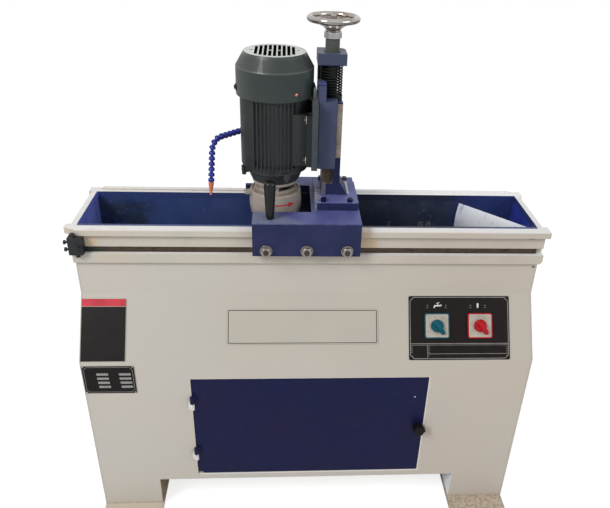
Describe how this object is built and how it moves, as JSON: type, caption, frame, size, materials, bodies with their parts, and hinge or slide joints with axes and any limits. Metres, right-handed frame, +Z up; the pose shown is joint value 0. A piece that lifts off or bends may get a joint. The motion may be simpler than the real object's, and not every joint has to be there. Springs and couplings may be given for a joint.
{
  "type": "wet grinding sharpener",
  "caption": "Floor-standing straight-knife wet grinder: hand-pushed carriage with a vertical cup-wheel motor on a screw-lifted slide over a water tub with a tilting knife beam.",
  "frame": {"origin": "centre of the four anchor holes on the underside of the foot plates, at floor level", "axes": "+Z up; +Y from the operator's front to the rear; +X along the guide beam to the operator's right"},
  "size_m": [1.11, 0.401, 1.2337],
  "materials": {
    "cabinet_paint": "light grey-white enamel, satin",
    "machine_blue": "dark blue machine paint, worn",
    "door_paint": "deep blue paint, satin",
    "tub_paint": "blue paint, wet and dusty",
    "motor_paint": "dark green-black paint, satin",
    "guard_paint": "cream enamel",
    "black_steel": "blackened steel",
    "plate_black": "black panel with a white line frame",
    "plate_light": "bare printed sheet, no text",
    "bright_steel": "machined steel",
    "old_steel": "oily brown steel",
    "zinc": "zinc-plated",
    "deflector": "thin plain sheet",
    "bronze": "bearing bronze",
    "chrome": "polished",
    "tank_paint": "grey paint",
    "pump_paint": "blue-grey paint",
    "switch_plate": "cream plastic",
    "knob_teal": "teal plastic",
    "knob_red": "red plastic",
    "black_plastic": "black plastic",
    "grip_black": "black phenolic",
    "hose_blue": "blue plastic beads",
    "nozzle_orange": "orange plastic",
    "fan_plastic": "black plastic",
    "abrasive": null,
    "spring_steel": "oiled spring wire"
  },
  "bodies": {
    "frame": {"front_panel": "cabinet_paint", "left_side_panel": "cabinet_paint", "right_side_panel": "cabinet_paint", "rear_panel": "cabinet_paint", "base_shelf": "cabinet_paint", "foot_plates": "cabinet_paint", "guide_beam": "cabinet_paint", "guide_strip": "old_steel", "tub_rim": "cabinet_paint", "rear_rail": "cabinet_paint", "tub": "tub_paint", "drain_pipe": "zinc", "rail_stop": "black_steel", "splash_guard": "deflector", "beam_bearings": "old_steel", "coolant_tank": "tank_paint", "coolant_pump": "pump_paint", "power_gland": "black_plastic", "switch_panel": "plate_black", "blank_plates": "plate_light", "pump_switch": "switch_plate", "motor_switch": "switch_plate", "door_hinges": "cabinet_paint"},
    "knife_clamp": {"knife_beam": "bright_steel", "clamp_bar": "bright_steel", "clamp_screws": "black_steel"},
    "pump_turn": {"pump_knob": "knob_teal"},
    "motor_turn": {"motor_knob": "knob_red"},
    "door": {"door_panel": "door_paint"},
    "latch": {"latch_knob": "grip_black"},
    "carriage": {"carriage_frame": "machine_blue", "wear_pads": "bronze", "skirt_bolts": "zinc", "push_handle": "grip_black", "column": "machine_blue", "column_bolts": "black_steel", "column_scale": "bright_steel", "screw_sleeve": "black_plastic", "hose_inlet": "machine_blue", "lift_spring": "spring_steel"},
    "roller_front_1": {"front_roller_1": "bright_steel"},
    "roller_front_2": {"front_roller_2": "bright_steel"},
    "roller_front_3": {"front_roller_3": "bright_steel"},
    "roller_rear_1": {"rear_roller_1": "bright_steel"},
    "roller_rear_2": {"rear_roller_2": "bright_steel"},
    "hose": {"hose_segments": "hose_blue", "hose_nozzle": "nozzle_orange"},
    "grinding_head": {"slide_block": "machine_blue", "motor_plate": "black_steel", "motor_body": "motor_paint", "end_shield": "motor_paint", "fan_cowl": "motor_paint", "terminal_box": "motor_paint", "wheel_guard": "guard_paint"},
    "spindle": {"rotor_shaft": "bright_steel", "cooling_fan": "fan_plastic", "cup_wheel": "abrasive"},
    "lift_drive": {"lift_screw": "black_steel", "dial_collar": "bright_steel", "handwheel": "chrome"}
  },
  "joints": [
    {"name": "carriage_travel", "type": "slide", "parent": "frame", "child": "carriage", "axis": [1, 0, 0], "range_m": [-0.375, 0.425]},
    {"name": "head_lift", "type": "slide", "parent": "carriage", "child": "grinding_head", "axis": [0, 0, 1], "range_m": [-0.045, 0.025], "deforming": ["lift_spring"]},
    {"name": "screw_turn", "type": "hinge", "parent": "carriage", "child": "lift_drive", "pos_m": [0.036, 0.0465, 1.2], "axis": [0, 0, 1], "range_deg": [-4100, 2300]},
    {"name": "spindle_spin", "type": "hinge", "parent": "grinding_head", "child": "spindle", "pos_m": [-0.087, 0.035, 0.9], "axis": [0, 0, 1], "continuous": true},
    {"name": "front_roller_turn_1", "type": "hinge", "parent": "carriage", "child": "roller_front_1", "pos_m": [-0.1065, -0.072, 0.752], "axis": [0, 1, 0], "range_deg": [-1400, 1400]},
    {"name": "front_roller_turn_2", "type": "hinge", "parent": "carriage", "child": "roller_front_2", "pos_m": [-0.015, -0.072, 0.752], "axis": [0, 1, 0], "range_deg": [-1400, 1400]},
    {"name": "front_roller_turn_3", "type": "hinge", "parent": "carriage", "child": "roller_front_3", "pos_m": [0.0765, -0.072, 0.752], "axis": [0, 1, 0], "range_deg": [-1400, 1400]},
    {"name": "rear_roller_turn_1", "type": "hinge", "parent": "carriage", "child": "roller_rear_1", "pos_m": [-0.1, 0.154, 0.8023], "axis": [0, 1, 0], "range_deg": [-2300, 2300]},
    {"name": "rear_roller_turn_2", "type": "hinge", "parent": "carriage", "child": "roller_rear_2", "pos_m": [0.07, 0.154, 0.8023], "axis": [0, 1, 0], "range_deg": [-2300, 2300]},
    {"name": "knife_tilt", "type": "hinge", "parent": "frame", "child": "knife_clamp", "pos_m": [-0.014, 0.035, 0.688], "axis": [1, 0, 0], "range_deg": [0, 45]},
    {"name": "door_swing", "type": "hinge", "parent": "frame", "child": "door", "pos_m": [-0.288, -0.16685, 0.276], "axis": [0, 0, -1], "range_deg": [0, 110]},
    {"name": "door_latch", "type": "hinge", "parent": "door", "child": "latch", "pos_m": [0.279, -0.161, 0.27293], "axis": [0, -1, 0], "range_deg": [0, 90]},
    {"name": "pump_switch_turn", "type": "hinge", "parent": "frame", "child": "pump_turn", "pos_m": [0.303, -0.11416, 0.55374], "axis": [0, -0.8264, 0.5631], "range_deg": [0, 90]},
    {"name": "motor_switch_turn", "type": "hinge", "parent": "frame", "child": "motor_turn", "pos_m": [0.409, -0.11416, 0.55374], "axis": [0, -0.8264, 0.5631], "range_deg": [0, 90]},
    {"name": "hose_swivel", "type": "hinge", "parent": "carriage", "child": "hose", "pos_m": [-0.128, 0.148, 0.831], "axis": [0, 0, 1], "range_deg": [-35, 5]}
  ],
  "couplings": [
    {"joint": "screw_turn", "follows": "head_lift", "rad_per_m": 1570.8},
    {"joint": "front_roller_turn_1", "follows": "carriage_travel", "rad_per_m": -48.309},
    {"joint": "front_roller_turn_2", "follows": "carriage_travel", "rad_per_m": -48.309},
    {"joint": "front_roller_turn_3", "follows": "carriage_travel", "rad_per_m": -48.309},
    {"joint": "rear_roller_turn_1", "follows": "carriage_travel", "rad_per_m": 90.909},
    {"joint": "rear_roller_turn_2", "follows": "carriage_travel", "rad_per_m": 90.909}
  ]
}
